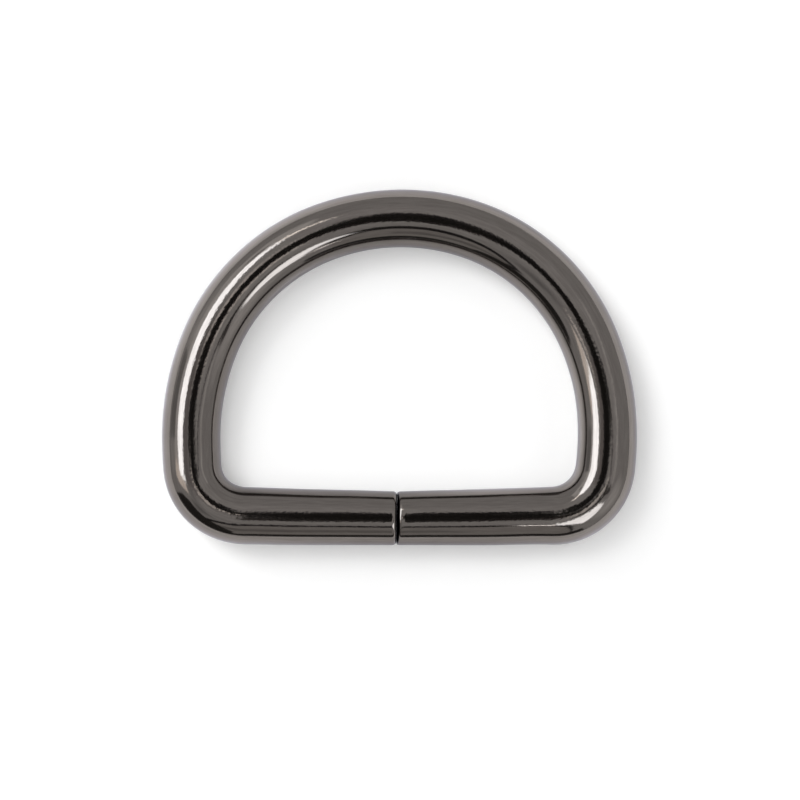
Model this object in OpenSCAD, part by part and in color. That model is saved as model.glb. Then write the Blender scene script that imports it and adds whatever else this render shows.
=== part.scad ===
// A d ring bent from one length of round wire, lying flat on its side.
// The strap bar runs along X, the arch points to +Y and Z is up. The wire starts at a butt joint
// in the middle of the bar, goes once round the loop and ends at the same joint, unwelded.
// The origin is the bottom centre of the whole ring's box.

/* [Opening] */
// Inside width between the arms, where they stand furthest apart
opening_w = 25; // [18:0.5:40]
// Inside height, from the bar at its joint to the top of the arch
opening_h = 17.05; // [12:0.05:26]

/* [Wire] */
// Diameter of the wire
wire_d = 4.15; // [2:0.05:6]
// How much thinner the two cut ends are, which taper along the bar
end_thinning = 0.38; // [0:0.02:0.8]

/* [Bends] */
// Inside radius of the two corner bends
corner_r = 1.75; // [0.5:0.05:4]
// Half the angle over which the flatter crown of the arch reaches
crown_half_angle = 20.4; // [5:0.1:35]
// How much larger the crown's radius is than the shoulders' radius, as a share of it
crown_flatness = 0.11; // [0:0.01:0.5]
// Direction, turned from the top of the arch, at which the shoulders run into the arms
shoulder_end_angle = 69.2; // [55:0.1:80]
// Angle by which the arms lean inwards where they run into the corner bends
arm_lean = 7.2; // [0:0.1:15]
// Angle by which each half of the bar slopes outwards to the joint
bar_slope = 0.93; // [0:0.01:3]

/* [Joint] */
// Gap between the two cut ends, where they come closest
joint_gap = 0.08; // [0.05:0.01:1]
// Radius of the rounded rim of each cut end
rim_r = 0.3; // [0.1:0.05:0.6]

/* [Hidden] */
$fn = 96;
gunmetal = [0.24, 0.23, 0.21];

wire_r = wire_d / 2;
end_r = wire_r - end_thinning / 2;
half_w = opening_w / 2 + wire_r;
crown_y = opening_h + wire_r + end_r;
corner_bend_r = corner_r + wire_r;
arm_end_angle = 90 + arm_lean;
corner_end_angle = 180 - bar_slope;

// Radii of the shoulders and the arms. Every stretch of the centre line is tangent to the next, so
// the half width and the height of the arch give two linear equations in these two radii:
// w_shoulder * shoulder_r + w_arm * arm_r = half_w and h_shoulder * shoulder_r + h_arm * arm_r = h_sum.
w_shoulder = crown_flatness * sin(crown_half_angle) + sin(shoulder_end_angle);
w_arm = 1 - sin(shoulder_end_angle);
h_shoulder = crown_flatness * cos(crown_half_angle + bar_slope)
    + cos(shoulder_end_angle + bar_slope) - (1 + crown_flatness) * cos(bar_slope);
h_arm = cos(arm_end_angle + bar_slope) - cos(shoulder_end_angle + bar_slope);
h_sum = corner_bend_r * (1 + cos(arm_end_angle + bar_slope)) - crown_y * cos(bar_slope);
determinant = w_shoulder * h_arm - w_arm * h_shoulder;
shoulder_r = (half_w * h_arm - w_arm * h_sum) / determinant;
arm_r = (w_shoulder * h_sum - h_shoulder * half_w) / determinant;
crown_r = (1 + crown_flatness) * shoulder_r;

// The shoulders and corners are a hair thinner than the crown, arms and bar, and their ends reach
// a little way into them, so that neighbouring stretches of the wire overlap and join cleanly
join_step = 0.01;
join_depth = 0.05;

// The bends of one half in order from the crown: centre line radius, the angle it turns through,
// and whether it is one of the thinner stretches
SHOULDER = [shoulder_r, shoulder_end_angle - crown_half_angle, true];
ARM = [arm_r, arm_end_angle - shoulder_end_angle, false];
CORNER = [corner_bend_r, corner_end_angle - arm_end_angle, true];
half_bends = [SHOULDER, ARM, CORNER];

// Start of the bar on the +X side, measured from the middle of the joint
crown_centre = [0, crown_y - crown_r];
bar_start = crown_centre
    + (crown_r - shoulder_r) * towards(crown_half_angle)
    + (shoulder_r - arm_r) * towards(shoulder_end_angle)
    + (arm_r - corner_bend_r) * towards(arm_end_angle)
    + corner_bend_r * towards(corner_end_angle);

// Each cut end stands back from the middle, so that the inner edges of the sloping ends stay clear
bar_length = norm(bar_start) - joint_gap / 2 - end_r * sin(bar_slope);
taper_angle = atan((wire_r - end_r) / (bar_length - rim_r));
rim_steps = 6;

// The ring's lowest point in Y is the bar at its start or at its joint, whichever reaches further
bottom_y = min(bar_start.y - wire_r, -end_r);
box_centre_y = (bottom_y + crown_y + wire_r) / 2;

// Unit vector in a direction turned clockwise from +Y
function towards(angle) = [sin(angle), cos(angle)];

// Half section of a bar half, from the full wire to the rounded rim of its cut end
function bar_profile() = concat(
    [[0, 0], [wire_r, 0]],
    [for (step = [0 : rim_steps])
        let (angle = taper_angle + (90 - taper_angle) * step / rim_steps)
        [end_r - rim_r + rim_r * cos(angle), bar_length - rim_r + rim_r * sin(angle)]],
    [[0, bar_length]]
);

// A stretch of wire bent about the origin from the +X axis, and longer at both ends if it is thin
module bend(bend_r, angle, thin = false) {
    reach = thin ? join_depth / bend_r * 180 / PI : 0;
    rotate([0, 0, -reach])
        rotate_extrude(angle = angle + 2 * reach)
            translate([bend_r, 0])
                circle(r = thin ? wire_r - join_step : wire_r);
}

// One half of the strap bar along +Z, tapering to its cut end at the joint
module bar_half() {
    rotate_extrude()
        polygon(bar_profile());
}

// The bends of one half, each set on the end of the one before it, and last its half of the bar.
// The end before it lies on the +X axis, at its bend's radius.
module bent_half(last_r, index = 0) {
    if (index < len(half_bends)) {
        bend_r = half_bends[index][0];
        angle = half_bends[index][1];
        thin = half_bends[index][2];
        translate([last_r - bend_r, 0, 0])
            rotate([0, 0, -angle]) {
                bend(bend_r, angle, thin);
                bent_half(bend_r, index + 1);
            }
    } else {
        translate([last_r, 0, 0])
            rotate([90, 0, 0])
                bar_half();
    }
}

// The whole ring: one wire, so one solid
module ring() {
    color(gunmetal)
        translate([0, crown_centre.y - box_centre_y, wire_r])
            union() {
                rotate([0, 0, 90 - crown_half_angle])
                    bend(crown_r, 2 * crown_half_angle);
                for (side = [0, 1])
                    mirror([side, 0, 0])
                        rotate([0, 0, 90 - crown_half_angle])
                            bent_half(crown_r);
            }
}

ring();
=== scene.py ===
"""A d ring bent from one length of round wire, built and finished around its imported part.

Everything is in metres in the part's own frame: the strap bar runs along X, the arch points to +Y,
Z is up, and the ring lies flat on a sheet of white paper at Z = 0. The wire is swept as one piece
from its left cut end round the loop to its right cut end, as it was bent.
"""

import logging
import math
from dataclasses import dataclass, field
from enum import Enum
from typing import Any, Optional, Sequence, Union

import bmesh
import bpy
from mathutils import Matrix, Vector
from mathutils.kdtree import KDTree

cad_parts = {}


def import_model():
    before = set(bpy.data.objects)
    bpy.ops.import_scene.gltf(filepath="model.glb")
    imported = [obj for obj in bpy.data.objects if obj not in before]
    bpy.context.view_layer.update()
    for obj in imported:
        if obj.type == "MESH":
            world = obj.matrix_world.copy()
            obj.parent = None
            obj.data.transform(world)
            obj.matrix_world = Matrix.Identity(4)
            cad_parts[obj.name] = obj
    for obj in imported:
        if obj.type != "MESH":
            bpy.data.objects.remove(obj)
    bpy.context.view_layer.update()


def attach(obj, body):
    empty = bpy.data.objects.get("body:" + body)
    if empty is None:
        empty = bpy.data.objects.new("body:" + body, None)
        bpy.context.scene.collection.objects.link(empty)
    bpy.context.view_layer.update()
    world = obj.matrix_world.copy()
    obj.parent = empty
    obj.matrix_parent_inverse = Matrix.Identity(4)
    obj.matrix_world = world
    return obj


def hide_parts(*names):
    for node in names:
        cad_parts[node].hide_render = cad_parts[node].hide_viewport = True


LOG = logging.getLogger("d_ring")
MM = 0.001
ROOT_BODY = "root"
RING_NODE = "ring"
UNBENT = "unbent"  # attribute: where a point of the skin was while the wire was straight, in millimetres
UP = Vector((0.0, 0.0, 1.0))
WELD = 1e-7  # within this, two points are one

Colour = tuple[float, float, float]
SectionParts = list[Union[bmesh.types.BMVert, bmesh.types.BMEdge]]


class Ray(Enum):
    """The kinds of light rays that a thing can be hidden from."""

    CAMERA = "visible_camera"
    DIFFUSE = "visible_diffuse"
    GLOSSY = "visible_glossy"
    TRANSMISSION = "visible_transmission"
    VOLUME = "visible_volume_scatter"
    SHADOW = "visible_shadow"


def hide_from(thing: bpy.types.Object, rays: Sequence[Ray]) -> None:
    """Hides a thing from some kinds of rays, which pass it by."""
    for ray in rays:
        setattr(thing, ray.value, False)


def verts_of(parts: Sequence[Any]) -> list[bmesh.types.BMVert]:
    """The vertices among some parts of a mesh."""
    return [part for part in parts if isinstance(part, bmesh.types.BMVert)]


def edges_of(parts: Sequence[Any]) -> list[bmesh.types.BMEdge]:
    """The edges among some parts of a mesh."""
    return [part for part in parts if isinstance(part, bmesh.types.BMEdge)]


def finished(name: str, bm: bmesh.types.BMesh) -> bpy.types.Object:
    """Turns a bmesh into an object that sits at the origin.

    Args:
        name: the object's name.
        bm: its mesh, which is freed.

    Returns:
        The new object.
    """
    mesh = bpy.data.meshes.new(name)
    bm.to_mesh(mesh)
    bm.free()
    made = bpy.data.objects.new(name, mesh)
    bpy.context.collection.objects.link(made)
    return made


def smooth_step(share: float) -> float:
    """Eases a share from 0 to 1, flat at both ends."""
    held = min(max(share, 0.0), 1.0)
    return held * held * (3.0 - 2.0 * held)


# Shader maths


class Signal:
    """One output of a node tree, on which Python's operators add Math nodes."""

    def __init__(self, bench: "NodeBench", socket: bpy.types.NodeSocket) -> None:
        """Wraps a socket of the bench's tree."""
        self.bench = bench
        self.socket = socket

    def __add__(self, other: "Operand") -> "Signal":
        """Sum."""
        return self.bench.maths("ADD", self, other)

    def __radd__(self, other: "Operand") -> "Signal":
        """Sum, reflected."""
        return self.bench.maths("ADD", other, self)

    def __sub__(self, other: "Operand") -> "Signal":
        """Difference."""
        return self.bench.maths("SUBTRACT", self, other)

    def __rsub__(self, other: "Operand") -> "Signal":
        """Difference, reflected."""
        return self.bench.maths("SUBTRACT", other, self)

    def __mul__(self, other: "Operand") -> "Signal":
        """Product."""
        return self.bench.maths("MULTIPLY", self, other)

    def __rmul__(self, other: "Operand") -> "Signal":
        """Product, reflected."""
        return self.bench.maths("MULTIPLY", other, self)

    def __truediv__(self, other: "Operand") -> "Signal":
        """Quotient."""
        return self.bench.maths("DIVIDE", self, other)

    def __rtruediv__(self, other: "Operand") -> "Signal":
        """Quotient, reflected."""
        return self.bench.maths("DIVIDE", other, self)

    def clamped(self) -> "Signal":
        """The value held between 0 and 1."""
        return self.bench.maths("ADD", self, 0.0, clamp=True)

    def at_most(self, other: "Operand") -> "Signal":
        """The lower of two values."""
        return self.bench.maths("MINIMUM", self, other)

    def sharpened(self, contrast: float) -> "Signal":
        """The value spread away from its middle, a half, and held between 0 and 1."""
        return ((self - 0.5) * contrast + 0.5).clamped()


Operand = Union[Signal, float]


class NodeBench:
    """Adds nodes to one node tree."""

    def __init__(self, tree: bpy.types.NodeTree) -> None:
        """Takes a tree and empties it."""
        self.tree = tree
        tree.nodes.clear()

    def node(
        self, kind: str, settings: Optional[dict[str, Any]] = None,
        inputs: Optional[dict[Union[str, int], Any]] = None,
    ) -> bpy.types.Node:
        """Adds a node, sets it up, and then fills its inputs.

        Args:
            kind: the node's type.
            settings: values of the node's own settings.
            inputs: for each input socket, by name or number, a value or a Signal.

        Returns:
            The new node.
        """
        made = self.tree.nodes.new(kind)
        for name, value in (settings or {}).items():
            setattr(made, name, value)
        for name, value in (inputs or {}).items():
            if isinstance(value, Signal):
                self.tree.links.new(value.socket, made.inputs[name])
            else:
                made.inputs[name].default_value = value
        return made

    def out(self, node: bpy.types.Node, name: Union[str, int] = 0) -> Signal:
        """One of a node's outputs as a Signal."""
        return Signal(self, node.outputs[name])

    def maths(self, operation: str, a: Operand, b: Operand = 0.0, clamp: bool = False) -> Signal:
        """Adds a Math node on one or two values, and holds its result between 0 and 1 if asked."""
        settings = {"operation": operation, "use_clamp": clamp}
        return self.out(self.node("ShaderNodeMath", settings, {0: a, 1: b}))

    def facing(self, direction: Signal, way: Vector) -> Signal:
        """How far a direction points along a fixed way, which is their dot product."""
        inputs = {0: direction, 1: tuple(way)}
        return self.out(self.node("ShaderNodeVectorMath", {"operation": "DOT_PRODUCT"}, inputs), "Value")

    def blend(self, mask: Operand, below: Union[Signal, Colour], above: Union[Signal, Colour]) -> Signal:
        """Lays one colour over another.

        Args:
            mask: 0 shows the colour below and 1 the one above.
            below: a colour or a colour Signal.
            above: a colour or a colour Signal.

        Returns:
            The mixed colour.
        """
        colours = {
            slot: value if isinstance(value, Signal) else (*value, 1.0)
            for slot, value in ((6, below), (7, above))
        }
        node = self.node("ShaderNodeMix", {"data_type": "RGBA"}, {0: mask, **colours})
        return self.out(node, 2)

    def squeezed(self, place: Signal, along: float) -> Signal:
        """Squeezes a pattern's coordinates by a factor along X."""
        inputs = {"Vector": place, "Scale": (along, 1.0, 1.0)}
        return self.out(self.node("ShaderNodeMapping", {"vector_type": "POINT"}, inputs))

    def noise(self, place: Signal, scale: float, detail: float = 2.0, roughness: float = 0.5) -> Signal:
        """A noise pattern from about 0 to 1, with its lumps to one unit and its finer layers."""
        inputs = {"Vector": place, "Scale": scale, "Detail": detail, "Roughness": roughness}
        return self.out(self.node("ShaderNodeTexNoise", {}, inputs))


# The wire


@dataclass(frozen=True)
class WireSizes:
    """The ring's sizes in millimetres and degrees, the same as in the part's source."""

    opening_w: float = 25.0
    opening_h: float = 17.05
    wire_d: float = 4.15
    end_thinning: float = 0.38
    corner_r: float = 1.75
    crown_half_angle: float = 20.4
    crown_flatness: float = 0.11
    shoulder_end_angle: float = 69.2
    arm_lean: float = 7.2
    bar_slope: float = 0.93
    joint_gap: float = 0.08

    @property
    def wire_r(self) -> float:
        """Radius of the wire."""
        return self.wire_d / 2

    @property
    def end_r(self) -> float:
        """Radius of the thinner cut ends."""
        return self.wire_r - self.end_thinning / 2

    @property
    def corner_bend_r(self) -> float:
        """Centre line radius of the corner bends."""
        return self.corner_r + self.wire_r

    @property
    def crown_y(self) -> float:
        """Height of the crown's centre line over the joint's centre."""
        return self.opening_h + self.wire_r + self.end_r

    def bend_radii(self) -> tuple[float, float, float]:
        """Solves for the radii that close the loop.

        Every stretch of the centre line is tangent to the next, so the half width and the height of
        the arch give two linear equations in the radii of the shoulders and the arms.

        Returns:
            Centre line radii of the crown, the shoulders and the arms.
        """
        flat = self.crown_flatness
        crown, shoulder, slope, arm = (
            math.radians(angle)
            for angle in (self.crown_half_angle, self.shoulder_end_angle, self.bar_slope, 90 + self.arm_lean)
        )
        half_w = self.opening_w / 2 + self.wire_r
        w_shoulder = flat * math.sin(crown) + math.sin(shoulder)
        w_arm = 1 - math.sin(shoulder)
        h_shoulder = (
            flat * math.cos(crown + slope) + math.cos(shoulder + slope) - (1 + flat) * math.cos(slope)
        )
        h_arm = math.cos(arm + slope) - math.cos(shoulder + slope)
        h_sum = self.corner_bend_r * (1 + math.cos(arm + slope)) - self.crown_y * math.cos(slope)
        determinant = w_shoulder * h_arm - w_arm * h_shoulder
        shoulder_r = (half_w * h_arm - w_arm * h_sum) / determinant
        arm_r = (w_shoulder * h_sum - h_shoulder * half_w) / determinant
        return (1 + flat) * shoulder_r, shoulder_r, arm_r


@dataclass(frozen=True)
class Station:
    """One place along the wire's centre line."""

    centre: Vector  # metres
    heading: float  # radians from +X, the way that the wire runs
    travel: float  # millimetres from the left cut end
    radius: float  # metres, of the wire there

    @property
    def left(self) -> Vector:
        """The side of the wire that looks out of the loop."""
        return Vector((-math.sin(self.heading), math.cos(self.heading), 0.0))

    @property
    def along(self) -> Vector:
        """The way that the wire runs."""
        return Vector((math.cos(self.heading), math.sin(self.heading), 0.0))


@dataclass(frozen=True)
class Stretch:
    """A straight or evenly bent length of wire."""

    length: float  # millimetres along the centre line
    bend_r: float  # centre line radius in millimetres, 0 where it is straight
    end_d: float  # the wire's diameter at its end, in millimetres


@dataclass(frozen=True)
class Waver:
    """A slight unevenness that bending left in the wire, in millimetres."""

    place: float  # its middle, along the wire from the left cut end
    reach: float  # how far it goes to each side of that
    shift: float  # how far the wire stands out of its even curve
    swell: float = 0.0  # how much wider the wire is

    def share(self, travel: float) -> float:
        """How strong it is at a place along the wire, from 0 to 1."""
        return smooth_step(1 - abs(travel - self.place) / self.reach)

    def push(self, travel: float, outward: float) -> float:
        """How far it moves a point out of the loop, where outward is the point's share of the diameter."""
        return self.share(travel) * (self.shift + self.swell * outward)


def default_wavers() -> tuple[Waver, ...]:
    """Lists the unevenness seen in the photo.

    Returns:
        The places in order, from the left cut end round to the right one.
    """
    return (
        Waver(6.5, 4.5, 0.021, -0.030),
        Waver(11.5, 4.5, -0.010, -0.075),
        Waver(12.6, 3.0, 0.020, 0.030),
        Waver(14.4, 3.4, 0.090, -0.020),
        Waver(38.0, 5.0, 0.0, -0.035),
        Waver(48.5, 11.0, 0.060),
        Waver(66.5, 5.5, -0.045, 0.050),
        Waver(70.0, 5.0, 0.0, 0.060),
        Waver(74.5, 3.0, -0.010, -0.050),
        Waver(78.5, 4.5, 0.016),
    )


@dataclass
class RingWire:
    """The whole ring: one wire, with a butt joint in the middle of the strap bar."""

    sizes: WireSizes = field(default_factory=WireSizes)
    name: str = "bent_wire_ring"
    sides: int = 128
    step: float = 0.32  # length between sections, in millimetres
    rims: tuple[float, float] = (0.27, 0.12)  # radius of the rounded rim of each cut end
    rim_segments: int = 6
    crushed: tuple[float, float] = (0.18, 0.055)  # how far the right cut end is flattened, and how deep
    joint_shift: float = -0.225  # the joint sits a little to the left of the middle
    arch_lean: float = 0.05  # the top of the arch leans to the right
    slot: float = 0.005  # what stays open where the cut ends come closest
    cut_lean: float = 2.8  # degrees, by which the cuts fall back above and below the middle
    cut_tilt: float = 3.6  # degrees, by which both cuts lean to the right
    closing_reach: float = 1.2  # length at each cut end that is drawn up to the joint
    shift_height: float = 0.25  # share of the arch's height over which the joint's shift dies out
    bar_d: float = 4.09  # diameters where the stretches meet, in millimetres
    corner_d: float = 4.10
    arm_d: float = 4.12
    shoulder_d: float = 4.10
    crown_d: float = 4.07
    wavers: tuple[Waver, ...] = field(default_factory=default_wavers)

    def stretches(self) -> list[Stretch]:
        """Divides the wire into its straight and bent lengths.

        Returns:
            The lengths in order, from the left cut end to the right one.
        """
        size = self.sizes
        crown_r, shoulder_r, arm_r = size.bend_radii()
        corner_turn = 90 - size.bar_slope - size.arm_lean
        arm_turn = 90 + size.arm_lean - size.shoulder_end_angle
        shoulder_turn = size.shoulder_end_angle - size.crown_half_angle
        bar = self.bar_length()
        end_d = 2 * size.end_r
        crushed_length, crushed_depth = self.crushed

        def bend(radius: float, turn: float, thickness: float) -> Stretch:
            """A bent stretch, from its radius and the angle that it turns through."""
            return Stretch(radius * math.radians(turn), radius, thickness)

        return [
            Stretch(bar, 0.0, self.bar_d),
            bend(size.corner_bend_r, corner_turn, self.corner_d),
            bend(arm_r, arm_turn, self.arm_d),
            bend(shoulder_r, shoulder_turn, self.shoulder_d),
            bend(crown_r, size.crown_half_angle, self.crown_d),
            bend(crown_r, size.crown_half_angle, self.shoulder_d),
            bend(shoulder_r, shoulder_turn, self.arm_d),
            bend(arm_r, arm_turn, self.corner_d),
            bend(size.corner_bend_r, corner_turn, self.bar_d),
            Stretch(bar - crushed_length, 0.0, end_d),
            Stretch(crushed_length, 0.0, end_d - 2 * crushed_depth),
        ]

    def bar_start(self) -> tuple[float, float]:
        """Finds where the bar's centre line meets the right corner bend.

        Returns:
            The place from the joint's middle, in millimetres.
        """
        size = self.sizes
        crown_r, shoulder_r, arm_r = size.bend_radii()
        x, y, last = 0.0, size.crown_y, 0.0
        radii = (crown_r, shoulder_r, arm_r, size.corner_bend_r)
        angles = (size.crown_half_angle, size.shoulder_end_angle, 90 + size.arm_lean, 180 - size.bar_slope)
        for radius, angle in zip(radii, angles):
            x += radius * (math.sin(math.radians(angle)) - math.sin(math.radians(last)))
            y += radius * (math.cos(math.radians(angle)) - math.cos(math.radians(last)))
            last = angle
        return x, y

    def bar_length(self) -> float:
        """Works out how long each half of the bar is.

        Returns:
            The length from the corner bend to the cut end, in millimetres.
        """
        size = self.sizes
        set_back = size.joint_gap / 2 + size.end_r * math.sin(math.radians(size.bar_slope))
        return math.hypot(*self.bar_start()) - set_back

    def first_centre(self) -> Vector:
        """Places the wire's start in the row's frame.

        Returns:
            The middle of the left cut end, in metres.
        """
        size = self.sizes
        x, y = self.bar_start()
        slope = math.radians(size.bar_slope)
        reach = self.bar_length()
        bottom = min(y - size.wire_r, -size.end_r)
        middle = (bottom + size.crown_y + size.wire_r) / 2
        return Vector((-x + reach * math.cos(slope), y - reach * math.sin(slope) - middle, size.wire_r)) * MM

    def section(self, bm: bmesh.types.BMesh, station: Station) -> SectionParts:
        """Makes the wire's first section, at the left cut end.

        Args:
            bm: the mesh to add it to.
            station: where it stands.

        Returns:
            The section's vertices and edges.
        """
        turned = (
            Matrix.Translation(station.centre)
            @ Matrix.Rotation(station.heading, 4, "Z")
            @ Matrix.Rotation(math.pi / 2, 4, "Y")
        )
        made = bmesh.ops.create_circle(bm, segments=self.sides, radius=station.radius, matrix=turned)
        verts = made["verts"]
        return verts + list(dict.fromkeys(edge for vert in verts for edge in vert.link_edges))

    def advance(
        self, bm: bmesh.types.BMesh, section: SectionParts, station: Station,
        stretch: Stretch, length: float, end_radius: float,
    ) -> tuple[SectionParts, Station]:
        """Draws the wire on by one short length.

        Args:
            bm: the mesh.
            section: the last section's vertices and edges.
            station: where that section stands.
            stretch: the stretch that the new length belongs to.
            length: the new length in millimetres.
            end_radius: the wire's radius after it, in metres.

        Returns:
            The new section and its station.
        """
        if stretch.bend_r:
            turn = -length / stretch.bend_r
            pivot = station.centre - station.left * stretch.bend_r * MM
            made = bmesh.ops.spin(
                bm, geom=section, cent=pivot, axis=UP, dvec=(0, 0, 0), angle=turn, steps=1,
                use_merge=False, use_duplicate=False,
            )["geom_last"]
            centre = pivot + Matrix.Rotation(turn, 3, "Z") @ (station.centre - pivot)
            heading = station.heading + turn
        else:
            made = bmesh.ops.extrude_edge_only(bm, edges=edges_of(section))["geom"]
            shift = station.along * length * MM
            bmesh.ops.translate(bm, vec=shift, verts=verts_of(made))
            centre, heading = station.centre + shift, station.heading
        ring = [part for part in made if not isinstance(part, bmesh.types.BMFace)]
        factor = end_radius / station.radius
        bmesh.ops.scale(bm, vec=(factor,) * 3, space=Matrix.Translation(-centre), verts=verts_of(ring))
        return ring, Station(centre, heading, station.travel + length, end_radius)

    def sweep(self, bm: bmesh.types.BMesh) -> list[Station]:
        """Draws the whole wire, from one cut end to the other, and closes its ends.

        Args:
            bm: the mesh to build it in.

        Returns:
            The stations of all its sections.
        """
        size = self.sizes
        start = Station(self.first_centre(), math.pi - math.radians(size.bar_slope), 0.0, size.end_r * MM)
        section = self.section(bm, start)
        caps = [edges_of(section)]
        stations = [start]
        for stretch in self.stretches():
            count = max(2, round(stretch.length / self.step))
            first_radius, last_radius = stations[-1].radius, stretch.end_d / 2 * MM
            for index in range(1, count + 1):
                share = index / count
                eased = share if stretch.bend_r == 0 else smooth_step(share)
                radius = first_radius + (last_radius - first_radius) * eased
                section, station = self.advance(
                    bm, section, stations[-1], stretch, stretch.length / count, radius
                )
                stations.append(station)
        caps.append(edges_of(section))
        for rim, radius in zip(caps, self.rims):
            bmesh.ops.contextual_create(bm, geom=rim)
            bmesh.ops.bevel(
                bm, geom=rim, offset=radius * MM, offset_type="OFFSET", segments=self.rim_segments,
                profile=0.5, affect="EDGES", material=-1, clamp_overlap=True,
            )
        cuts = [face for face in bm.faces if len(face.verts) > 4]
        parts = dict.fromkeys(part for face in cuts for part in (face, *face.verts, *face.edges))
        bmesh.ops.bisect_plane(bm, geom=list(parts), dist=WELD, plane_co=start.centre, plane_no=UP)
        return stations

    def closing(self, place: Vector, joint: Vector, travel: float) -> float:
        """How far a point near the joint moves along the bar, so that the two cuts lie face to face.

        Args:
            place: the point, in metres.
            joint: the middle of the left cut end, in metres.
            travel: the point's place along the wire, in millimetres from the left cut end.

        Returns:
            The distance towards +X in millimetres.
        """
        size = self.sizes
        side = -1.0 if place.x < 0 else 1.0
        near = smooth_step(1 - min(travel, self.length() - travel) / self.closing_reach)
        ahead, above = (place.y - joint.y) / MM, (place.z - joint.z) / MM
        square = abs(joint.x) / MM - self.slot / 2 - ahead * math.tan(math.radians(size.bar_slope))
        lean = abs(above) * math.tan(math.radians(self.cut_lean))
        tilt = above * math.tan(math.radians(self.cut_tilt))
        return near * (side * (lean - square) + tilt)

    def length(self) -> float:
        """Length of the whole wire along its centre line, in millimetres."""
        return sum(stretch.length for stretch in self.stretches())

    def settle(self, bm: bmesh.types.BMesh, stations: list[Station]) -> None:
        """Writes on each vertex where it was in the straight wire, and gives the ring its slight unevenness.

        Args:
            bm: the ring's mesh.
            stations: the wire's stations.
        """
        size = self.sizes
        layer = bm.verts.layers.float_vector.new(UNBENT)
        tree = KDTree(len(stations))
        for index, station in enumerate(stations):
            tree.insert(station.centre, index)
        tree.balance()
        joint = self.first_centre()
        reach = self.bar_start()[0] * MM
        rise = size.crown_y * MM
        for vert in bm.verts:
            nearest = stations[tree.find(vert.co)[1]]
            away = (vert.co - nearest.centre) / MM
            travel, outward = nearest.travel + away.dot(nearest.along), away.dot(nearest.left)
            vert[layer] = (travel, outward, away.z)
            push = sum(waver.push(travel, outward / size.wire_d) for waver in self.wavers)
            height = (vert.co.y - joint.y) / rise
            low = smooth_step(1 - max(height, 0.0) / self.shift_height)
            on_bar = smooth_step(1 - abs(vert.co.x) / reach) * low
            lean = self.joint_shift * on_bar + self.arch_lean * smooth_step(height)
            lean += self.closing(vert.co, joint, travel)
            vert.co += (nearest.left * push + Vector((lean, 0.0, 0.0))) * MM

    def build(self) -> bpy.types.Object:
        """Makes the ring's object, at the origin.

        Returns:
            The new object, with smooth faces.
        """
        bm = bmesh.new()
        stations = self.sweep(bm)
        bmesh.ops.remove_doubles(bm, verts=bm.verts[:], dist=WELD)
        bmesh.ops.recalc_face_normals(bm, faces=bm.faces[:])
        self.settle(bm, stations)
        for face in bm.faces:
            face.smooth = True
        return finished(self.name, bm)


# Finishes


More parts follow.
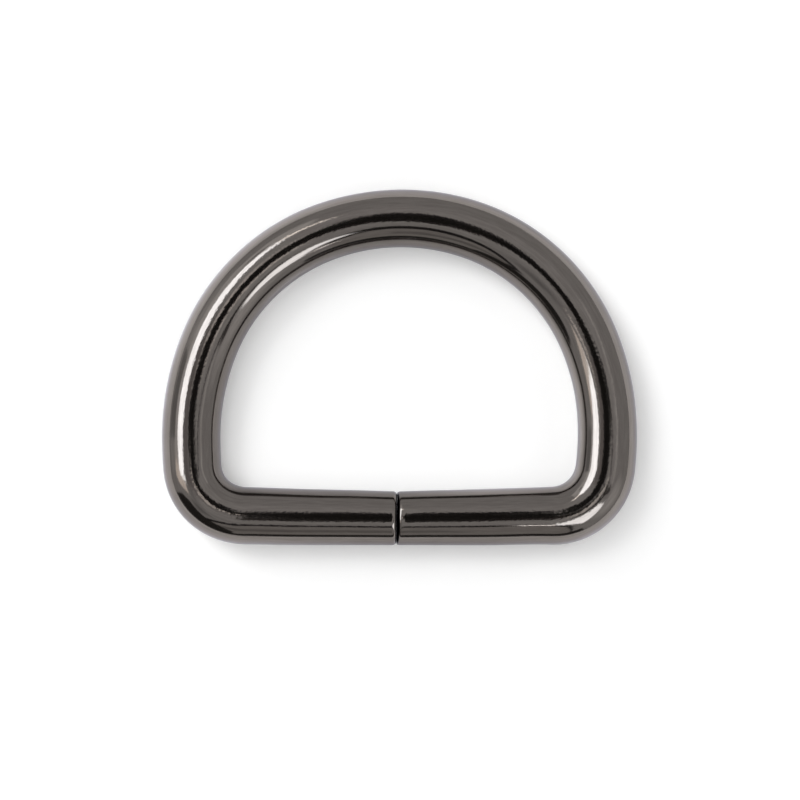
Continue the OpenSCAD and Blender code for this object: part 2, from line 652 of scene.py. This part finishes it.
@dataclass(frozen=True)
class GunmetalPlating:
    """Bright gunmetal plating over drawn wire, with an orange peel where its two faces were rubbed."""

    wire_length: float  # millimetres
    name: str = "gunmetal_plating"
    colour: Colour = (0.166, 0.150, 0.139)
    worn_colour: Colour = (0.172, 0.155, 0.144)
    grain_colour: Colour = (0.146, 0.131, 0.121)
    edge_tint: Colour = (0.82, 0.82, 0.88)  # holds back the brightening towards the outline
    roughness: float = 0.10
    roughness_spread: float = 0.04
    peel_size: float = 0.15  # millimetres across the wire
    peel_length: float = 1.5  # how much longer its lumps are along the wire
    peel_depth: float = 0.0050
    face_height: float = 1.87  # millimetres from the wire's middle, above which a face was rubbed
    face_fade: float = 0.11  # millimetres
    face_drop: float = 0.15  # how much lower that is at the thinner cut ends
    taper_length: float = 10.6  # millimetres over which they thin out
    smooth_depth: float = 0.0004  # the peel's depth away from the faces
    joint_shade_colour: Colour = (0.012, 0.011, 0.010)  # painted shade: near black on the cut ends, where the joint's narrow slot lies in shade
    joint_shade_depth: float = 0.06  # millimetres from the cut ends over which that painted shade lies
    joint_shade_fade: float = 0.02  # millimetres over which the painted shade fades out
    line_size: float = 0.13  # across the wire, of the drawing lines that run along it
    line_squeeze: float = 0.09  # how much their pattern is squeezed along the wire, which draws them out
    line_depth: float = 0.0006
    grain_contrast: float = 3.0
    cloud_scale: float = 0.35  # lumps to a millimetre
    mottle_scale: float = 0.9
    mottle_contrast: float = 2.5

    def material(self) -> bpy.types.Material:
        """Makes the material.

        Returns:
            A material that reads the wire's own unbent coordinates.
        """
        made = bpy.data.materials.new(self.name)
        made.use_nodes = True
        bench = NodeBench(made.node_tree)
        unbent = bench.out(bench.node("ShaderNodeAttribute", {"attribute_name": UNBENT}), "Vector")
        stretched = bench.squeezed(unbent, self.line_squeeze)
        drawn = bench.squeezed(unbent, 1.0 / self.peel_length)
        parts = bench.node("ShaderNodeSeparateXYZ", {}, {"Vector": unbent})
        travel, upright = bench.out(parts, "X"), bench.out(parts, "Z")
        from_cut = travel.at_most(self.wire_length - travel)
        face = self.face_height - (1.0 - from_cut / self.taper_length).clamped() * self.face_drop
        rubbed = ((bench.maths("ABSOLUTE", upright) - face) / self.face_fade).clamped()
        cloud = bench.noise(unbent, self.cloud_scale)
        mottle = bench.noise(unbent, self.mottle_scale, 3.0, 0.6)
        peel = bench.noise(drawn, 1.0 / self.peel_size, 1.5, 0.5)
        lines = bench.noise(stretched, 1.0 / self.line_size, 2.0, 0.6)
        depth = rubbed * (self.peel_depth - self.smooth_depth) + self.smooth_depth
        height = (peel - 0.5) * depth + lines * self.line_depth
        bump = bench.node("ShaderNodeBump", {}, {"Strength": 1.0, "Distance": MM, "Height": height})
        plain = bench.blend(mottle.sharpened(self.mottle_contrast), self.colour, self.worn_colour)
        plated = bench.blend(lines.sharpened(self.grain_contrast), self.grain_colour, plain)
        # Painted shade: the cut ends in the joint are coloured near black, standing for the shade in the
        # narrow slot.
        joint_shade = (1.0 - (from_cut - self.joint_shade_depth) / self.joint_shade_fade).clamped()
        surface = bench.node(
            "ShaderNodeBsdfPrincipled",
            {},
            {
                "Base Color": bench.blend(joint_shade, plated, self.joint_shade_colour),
                "Metallic": 1.0,
                "Roughness": self.roughness + (cloud - 0.5) * self.roughness_spread,
                "Specular Tint": (*self.edge_tint, 1.0),
                "Normal": bench.out(bump),
            },
        )
        bench.node("ShaderNodeOutputMaterial", {}, {"Surface": bench.out(surface)})
        return made


@dataclass(frozen=True)
class Spot:
    """A round patch of the paper that the metal mirrors brighter or darker, in millimetres."""

    right: float
    ahead: float
    reach: float  # from its middle to where it starts to fade
    fade: float  # how far it takes to fade
    strength: float

    def light(self, bench: NodeBench, place: Signal) -> Signal:
        """Works out what it adds to the paper's light.

        Args:
            bench: the paper's node tree.
            place: the place on the paper, in metres.

        Returns:
            The light that it adds there.
        """
        middle = (self.right * MM, self.ahead * MM, 0.0)
        node = bench.node("ShaderNodeVectorMath", {"operation": "DISTANCE"}, {0: place, 1: middle})
        away = bench.out(node, "Value") / MM
        return ((self.reach + self.fade - away) / self.fade).clamped() * self.strength


@dataclass(frozen=True)
class WhitePaper:
    """Smooth white paper with a faint tooth, which the metal mirrors brighter where the key light falls."""

    name: str = "white_paper"
    colour: Colour = (0.88, 0.88, 0.88)
    roughness: float = 0.2
    sheen: float = 1.0
    glow: float = 0.3  # stands for the even light that comes from all round
    mirrored: float = 0.5  # what the metal mirrors of it on top of that, outside the ring
    spots: tuple[Spot, ...] = (
        Spot(4, -2, 11, 11, -0.5),
        Spot(9.5, -3, 4.5, 5, 0.5),
        Spot(0, -26, 8, 8, -0.25),
        Spot(-23, 11, 8, 8, 0.35),
        Spot(-12, 20, 4, 6, 0.25),
    )
    shade_reach: float = 5.0  # millimetres over which the wire darkens that light beside it
    tooth_scale: float = 2200.0  # lumps to a metre
    tooth_depth: float = 1e-5  # metres

    def material(self) -> bpy.types.Material:
        """Makes the material.

        Returns:
            A material that reads Object coordinates.
        """
        made = bpy.data.materials.new(self.name)
        made.use_nodes = True
        bench = NodeBench(made.node_tree)
        place = bench.out(bench.node("ShaderNodeTexCoord"), "Object")
        tooth = bench.noise(place, self.tooth_scale, 3.0, 0.6)
        relief = {"Strength": 1.0, "Distance": self.tooth_depth, "Height": tooth}
        bump = bench.node("ShaderNodeBump", {}, relief)
        extra: Operand = self.mirrored
        for spot in self.spots:
            extra = spot.light(bench, place) + extra
        seen = bench.out(bench.node("ShaderNodeLightPath"), "Is Glossy Ray")
        shade = bench.node("ShaderNodeAmbientOcclusion", {"samples": 4}, {"Distance": self.shade_reach * MM})
        open_sky = bench.out(shade, "AO")
        lit = (self.glow + extra) * open_sky * seen + self.glow * (1.0 - seen)
        glow = bench.node("ShaderNodeCombineColor", {}, {name: lit for name in ("Red", "Green", "Blue")})
        surface = bench.node(
            "ShaderNodeBsdfPrincipled",
            {},
            {
                "Base Color": (*self.colour, 1.0),
                "Roughness": self.roughness,
                "Specular IOR Level": self.sheen,
                "Emission Color": bench.out(glow),
                "Emission Strength": 1.0,
                "Normal": bench.out(bump),
            },
        )
        bench.node("ShaderNodeOutputMaterial", {}, {"Surface": bench.out(surface)})
        return made


# The studio


@dataclass(frozen=True)
class Bearing:
    """A direction seen from the ring, as degrees away from straight up."""

    right: float  # towards +X
    ahead: float  # towards +Y

    def way(self) -> Vector:
        """Works out the direction.

        Returns:
            A unit vector.
        """
        turn = math.atan2(self.ahead, self.right)
        tip = math.radians(math.hypot(self.right, self.ahead))
        return Vector((math.sin(tip) * math.cos(turn), math.sin(tip) * math.sin(turn), math.cos(tip)))


def bearings(*pairs: tuple[float, float]) -> tuple[Bearing, ...]:
    """The corners of an outline, from how far each is to the right and ahead."""
    return tuple(Bearing(right, ahead) for right, ahead in pairs)


@dataclass(frozen=True)
class FlatPanel:
    """A flat panel round the ring: a patch of the room with straight edges."""

    name: str
    corners: tuple[Bearing, ...]
    strength: float
    colour: Colour = (1.0, 1.0, 1.0)
    edge: float = 0.03  # how wide its soft edge is, in radians

    def mask(self, bench: NodeBench, direction: Signal) -> Signal:
        """Tells whether a direction falls on the panel.

        Args:
            bench: the world's node tree.
            direction: the direction.

        Returns:
            A value from 0 beside the panel to 1 on it.
        """
        ways = [corner.way() for corner in self.corners]
        middle = sum(ways, Vector()).normalized()
        inside: Optional[Signal] = None
        for here, following in zip(ways, ways[1:] + ways[:1]):
            side = here.cross(following).normalized()
            side = side if side.dot(middle) > 0 else -side
            depth = bench.facing(direction, side)
            inside = depth if inside is None else inside.at_most(depth)
        return (inside / self.edge + 0.5).clamped()


@dataclass(frozen=True)
class RoundPanel:
    """A round patch of the room."""

    name: str
    middle: Bearing
    half_angle: float  # degrees
    strength: float
    colour: Colour = (1.0, 1.0, 1.0)
    edge: float = 0.03  # how wide its soft edge is, in radians

    def mask(self, bench: NodeBench, direction: Signal) -> Signal:
        """Tells whether a direction falls on the patch.

        Args:
            bench: the world's node tree.
            direction: the direction.

        Returns:
            A value from 0 beside the patch to 1 on it.
        """
        reach = math.cos(math.radians(self.half_angle))
        fall = math.sin(math.radians(self.half_angle)) * self.edge
        depth = bench.facing(direction, self.middle.way()) - reach
        return (depth / fall + 0.5).clamped()


Panel = Union[FlatPanel, RoundPanel]


def default_panels() -> tuple[Panel, ...]:
    """Lists the far parts of the room.

    Returns:
        The parts, in the order in which each covers the last.
    """
    return (
        RoundPanel("pale_walls", Bearing(0, 0.5), 89.3, 0.71, edge=0.03),
        RoundPanel("pale_ceiling", Bearing(3, 8), 35, 0.82, edge=0.2),
        RoundPanel("pale_wall", Bearing(54, -33), 13, 1.25, edge=0.4),
        RoundPanel("pale_corner", Bearing(-62, 22), 17, 1.05, edge=0.4),
        FlatPanel(
            "shaded_wall",
            bearings((-31, 18), (-12, 10), (-8, -6), (-29, -8)),
            0.44, (1.0, 0.95, 0.94), edge=0.08,
        ),
        FlatPanel(
            "shaded_curtain",
            bearings((-19, -6), (-27, -8), (-39, -36), (-30, -38)),
            0.56, edge=0.1,
        ),
        RoundPanel("curtain_hem", Bearing(-30.5, -30.5), 3.5, 0.33, edge=0.5),
        FlatPanel(
            "glint_right",
            bearings((12, -2.5), (18, -4.5), (11, -15), (6, -12)),
            1.9, (1.0, 0.96, 0.93), edge=0.05,
        ),
        FlatPanel(
            "ceiling_gap",
            bearings((-1, 0), (12, -2.5), (10, -7), (5, -13), (0, -18.5), (-5.5, -17.5), (-4, -8)),
            0.05, (1.0, 0.9, 0.82), edge=0.035,
        ),
        RoundPanel("glint_left", Bearing(-8.3, 8.2), 2.6, 2.2, (1.0, 0.96, 0.93), edge=0.1),
    )


@dataclass(frozen=True)
class Studio:
    """The room round the ring, as the metal mirrors it: pale walls over a dark floor line."""

    name: str = "studio_room"
    floor_line: float = 0.05
    backdrop: Colour = (0.93, 0.93, 0.93)
    panels: tuple[Panel, ...] = field(default_factory=default_panels)

    def build(self) -> bpy.types.World:
        """Makes the world that the metal mirrors. The lamps light the paper in its place.

        Returns:
            The new world, set as the scene's.
        """
        made = bpy.data.worlds.new(self.name)
        made.use_nodes = True
        bench = NodeBench(made.node_tree)
        direction = bench.out(bench.node("ShaderNodeTexCoord"), "Generated")
        shade: Union[Signal, Colour] = (self.floor_line,) * 3
        for panel in self.panels:
            glow = tuple(part * panel.strength for part in panel.colour)
            shade = bench.blend(panel.mask(bench, direction), shade, glow)
        seen = bench.out(bench.node("ShaderNodeLightPath"), "Is Camera Ray")
        shade = bench.blend(seen, shade, self.backdrop)
        light = bench.node("ShaderNodeBackground", {}, {"Color": shade, "Strength": 1.0})
        bench.node("ShaderNodeOutputWorld", {}, {"Surface": bench.out(light)})
        made.cycles_visibility.diffuse = False
        bpy.context.scene.world = made
        return made


@dataclass(frozen=True)
class Card:
    """A flat card or softbox that stands near the ring, and that only the metal mirrors."""

    name: str
    corners: tuple[Bearing, ...]
    distance: float  # from the ring's middle, in millimetres
    strength: float
    colour: Colour = (1.0, 1.0, 1.0)
    square_to: Optional[Bearing] = None  # the way that it stands square to, if that isn't its middle's

    def material(self) -> bpy.types.Material:
        """Makes a material that gives off the card's even light.

        Returns:
            The new material.
        """
        made = bpy.data.materials.new(self.name)
        made.use_nodes = True
        bench = NodeBench(made.node_tree)
        glow = bench.node("ShaderNodeEmission", {}, {"Color": (*self.colour, 1.0), "Strength": self.strength})
        bench.node("ShaderNodeOutputMaterial", {}, {"Surface": bench.out(glow)})
        return made

    def build(self) -> bpy.types.Object:
        """Returns:
            The card's object.
        """
        ways = [corner.way() for corner in self.corners]
        middle = sum(ways, Vector()).normalized()
        square = self.square_to.way() if self.square_to else middle
        reach = self.distance * MM * middle.dot(square)
        bm = bmesh.new()
        verts = [bm.verts.new(way * (reach / way.dot(square))) for way in ways]
        rim = [bm.edges.new(pair) for pair in zip(verts, verts[1:] + verts[:1])]
        bmesh.ops.contextual_create(bm, geom=rim)
        made = finished(self.name, bm)
        made.data.materials.append(self.material())
        hide_from(made, [ray for ray in Ray if ray is not Ray.GLOSSY])
        return made


def default_cards() -> tuple[Card, ...]:
    """Lists the cards and softboxes that stand near the ring.

    Returns:
        The cards.
    """
    return (
        Card(
            "softbox_left",
            bearings(
                (-20, 31.9), (-25.5, 22.3), (-30.2, 11.4), (-32.6, 0), (-34.2, -10), (-49.1, -10.3),
                (-54.5, -2), (-53.5, 9.8), (-50.1, 23.1), (-41.7, 31.9), (-31.4, 37), (-25, 38),
            ),
            124, 6.2, (0.95, 1.0, 1.05), square_to=Bearing(-96, 26),
        ),
        Card(
            "softbox_left_seam",
            bearings((-25, 33.5), (-11, 35.8), (-11, 37.3), (-25, 37.5)),
            279, 5.5, (1.0, 0.97, 0.92),
        ),
        Card(
            "softbox_left_skirt",
            bearings((-35, -8), (-38, -19), (-58, -16), (-64, -10), (-64, -3), (-50, -3)),
            340, 2.2, (1.0, 0.93, 0.86),
        ),
        Card(
            "softbox_left_side",
            bearings((-63, -2), (-63, 10), (-60, 18), (-76, 26), (-84, -2)),
            110, 0.48,
        ),
        Card(
            "softbox_left_frame",
            bearings(
                (-54.3, -4), (-54, 10), (-50.5, 23.5), (-42, 32.3), (-32, 37.5), (-23, 39), (-17, 40.5),
                (-21, 55), (-38, 53), (-51, 43), (-61, 28), (-64, 10), (-64, -4),
            ),
            118, 1.3,
        ),
        Card(
            "softbox_left_clip",
            bearings((-40, 41), (-34, 45), (-31.5, 44), (-36, 39)),
            116, 0.25,
        ),
        Card(
            "softbox_right",
            bearings(
                (9, -38), (18, -29.5), (25, -25.5), (32, -23.5), (40, -29), (38, -37), (34.5, -44),
                (30, -50), (22, -44.5), (12, -41),
            ),
            150, 5.1, (0.96, 1.0, 1.04), square_to=Bearing(-10.5, 12.6),
        ),
        Card(
            "softbox_right_edge",
            bearings((14.5, -45.2), (19.7, -44.2), (19.7, -46.6), (14.5, -47.3)),
            42, 6.0,
        ),
        Card(
            "corner_glint",
            bearings((-13, -7.4), (-15.4, -5), (-21, -10.8), (-18.7, -13.2)),
            60, 1.9, (1.0, 0.96, 0.93),
        ),
        Card(
            "light_strip_right",
            bearings((34, -16), (40, -16), (38, 24), (32, 22)),
            142, 1.1,
        ),
        Card(
            "dark_clamp",
            bearings(
                (15.5, -23.5), (25, -15.8), (26, -10), (23.5, -5), (17, 3), (17, 5.2), (19, 4.8),
                (25.5, -4), (28.2, -9.5), (31, -14), (36, -14), (40, -17), (40, -20), (33.5, -19.5),
                (27, -20.5), (16, -25.3),
            ),
            104, 0.1, (1.0, 0.95, 0.9),
        ),
        Card(
            "hood_gap",
            bearings(
                (-42, -48), (-22, -40.5), (-9, -36), (5, -35), (11, -37), (18.5, -48), (23, -62),
                (25, -80), (0, -84), (-30, -79), (-44, -62),
            ),
            600, 0.03, (1.0, 0.95, 0.9),
        ),
        Card(
            "hood",
            bearings(
                (-36, -51), (-22, -46), (-6, -43.3), (7, -43.3), (17.7, -50), (23.2, -62), (26.7, -76),
                (0, -78), (-28, -75), (-37, -60),
            ),
            130, 0.62, (1.0, 0.98, 0.96),
        ),
        Card(
            "hood_fold",
            bearings(
                (-35, -54), (-17, -55), (0, -56), (15, -55), (18, -63), (0, -66), (-19, -65), (-36, -60),
            ),
            129, 0.4, (1.0, 0.98, 0.96),
        ),
        Card(
            "dark_base",
            bearings(
                (-47, -66), (-29, -75.3), (-10, -76.3), (0, -76.5), (22, -73.3), (38, -66), (43, -74.5),
                (25, -82.3), (0, -86), (-25, -82.3), (-49, -70.5),
            ),
            100, 0.05, (1.0, 0.95, 0.9),
        ),
        Card(
            "dark_stand",
            bearings(
                (-78, -34), (-62, -29.5), (-50, -32), (-43, -45), (-34, -56), (-26, -68), (-30, -80),
                (-56, -64),
            ),
            60, 0.06, (1.0, 0.95, 0.9),
        ),
        Card(
            "ceiling_strip",
            bearings((-3, -6), (-3.2, 6), (-3.6, 15.5), (0, 18.7), (4, 15.5), (4, 8), (4, -6)),
            285, 0.03, (1.0, 0.95, 0.9),
        ),
        Card(
            "camera_front",
            bearings(
                (-13.5, 3), (-13.2, 5), (-10, 6.3), (-7.9, 7.8), (-5.5, 9), (-4.2, 10.5), (-4.2, 13),
                (-2, 16.5), (0, 19.5), (2, 16), (4.5, 13.5), (7, 13), (5.8, 9), (5.6, 6.3), (9, 3.6),
                (11, 4.4), (13, 5.2), (15.5, 6.5), (17.5, 6.5), (17, 0.8), (12.6, -0.5), (9, -1.5),
                (7, -4.5), (5.5, -7.5), (4, -12), (0, -15), (-3.9, -16.5), (-5, -12), (-5.8, -9),
                (-7, -6), (-10.7, -3.4), (-12.7, 0),
            ),
            170, 0.03, (1.0, 0.95, 0.9),
        ),
    )


@dataclass(frozen=True)
class SoftLamp:
    """A distant soft lamp that lights the paper, and that the metal doesn't mirror."""

    name: str
    middle: Bearing
    strength: float
    spread: float = 24.0  # degrees across

    def build(self) -> bpy.types.Object:
        """Makes the lamp.

        Returns:
            The lamp's object.
        """
        data = bpy.data.lights.new(self.name, "SUN")
        data.energy = self.strength
        data.angle = math.radians(self.spread)
        made = bpy.data.objects.new(self.name, data)
        bpy.context.collection.objects.link(made)
        made.rotation_mode = "QUATERNION"
        made.rotation_quaternion = self.middle.way().to_track_quat("Z", "Y")
        made.location = self.middle.way()
        hide_from(made, [Ray.GLOSSY])
        return made


def default_lamps() -> tuple[SoftLamp, ...]:
    """Lists the lamps over the paper.

    Returns:
        The key light from the upper left, and weak fills from the other sides.
    """
    return (
        SoftLamp("key_top", Bearing(-17.3, 10.0), 0.975, 40.0),
        SoftLamp("key_side", Bearing(-34.6, 20.0), 0.505),
        SoftLamp("key_middle", Bearing(-28.3, 28.3), 0.474),
        SoftLamp("key_low", Bearing(-42.4, 42.4), 0.552),
        SoftLamp("front", Bearing(0.0, -20.0), 0.319),
        SoftLamp("front_low", Bearing(-25.0, -43.3), 0.24),
        SoftLamp("fill_back", Bearing(43.3, 25.0), 0.351),
        SoftLamp("fill_front", Bearing(43.3, -25.0), 0.176),
    )


@dataclass(frozen=True)
class PaperSheet:
    """The paper that the ring lies on."""

    name: str = "paper_sheet"
    radius: float = 1.5
    finish: WhitePaper = field(default_factory=WhitePaper)

    def build(self) -> bpy.types.Object:
        """Returns:
            The sheet's object.
        """
        bm = bmesh.new()
        bmesh.ops.create_circle(bm, cap_ends=True, segments=96, radius=self.radius)
        made = finished(self.name, bm)
        made.data.materials.append(self.finish.material())
        return made


@dataclass(frozen=True)
class OverheadCamera:
    """The camera over the ring, a little towards its bar."""

    name: str = "overhead_camera"
    lens: float = 115.0  # millimetres
    sensor: float = 36.0  # millimetres
    clip: tuple[float, float] = (0.01, 10.0)  # metres
    field_w: float = 56.0  # width seen at the target, in millimetres
    lean: float = 2.45  # degrees from straight up
    target: tuple[float, float, float] = (0.04, -2.32, 2.075)  # millimetres

    def build(self) -> bpy.types.Object:
        """Makes the camera and sets it as the scene's.

        Returns:
            The camera's object.
        """
        data = bpy.data.cameras.new(self.name)
        data.lens, data.sensor_width = self.lens, self.sensor
        data.clip_start, data.clip_end = self.clip
        made = bpy.data.objects.new(self.name, data)
        bpy.context.collection.objects.link(made)
        tip = math.radians(self.lean)
        back = Vector((0.0, -math.sin(tip), math.cos(tip)))
        away = self.field_w * self.lens / self.sensor
        made.location = (Vector(self.target) + back * away) * MM
        made.rotation_euler = (tip, 0.0, 0.0)
        bpy.context.scene.camera = made
        return made


@dataclass
class DRing:
    """The ring with its finish."""

    wire: RingWire = field(default_factory=RingWire)

    def build(self) -> bpy.types.Object:
        """Makes the ring, plates it, and puts it in the place of the part's plain solid.

        Returns:
            The ring's object.
        """
        made = self.wire.build()
        made.data.materials.append(GunmetalPlating(self.wire.length()).material())
        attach(made, ROOT_BODY)
        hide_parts(RING_NODE)
        return made


def set_tone() -> None:
    """Shows the light as it is, with no film curve."""
    view = bpy.context.scene.view_settings
    view.view_transform = "Standard"
    view.look = "None"
    view.exposure = 0.0
    view.gamma = 1.0


def main() -> None:
    """Builds the scene in order and notes the size of the visual model."""
    logging.basicConfig(level=logging.INFO, format="%(name)s: %(message)s")
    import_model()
    set_tone()
    ring = DRing().build()
    LOG.info("%s: %d faces", ring.name, len(ring.data.polygons))
    for part in (Studio(), *default_cards(), *default_lamps(), PaperSheet(), OverheadCamera()):
        LOG.info("%s stands", part.build().name)


if __name__ == "__main__":
    main()
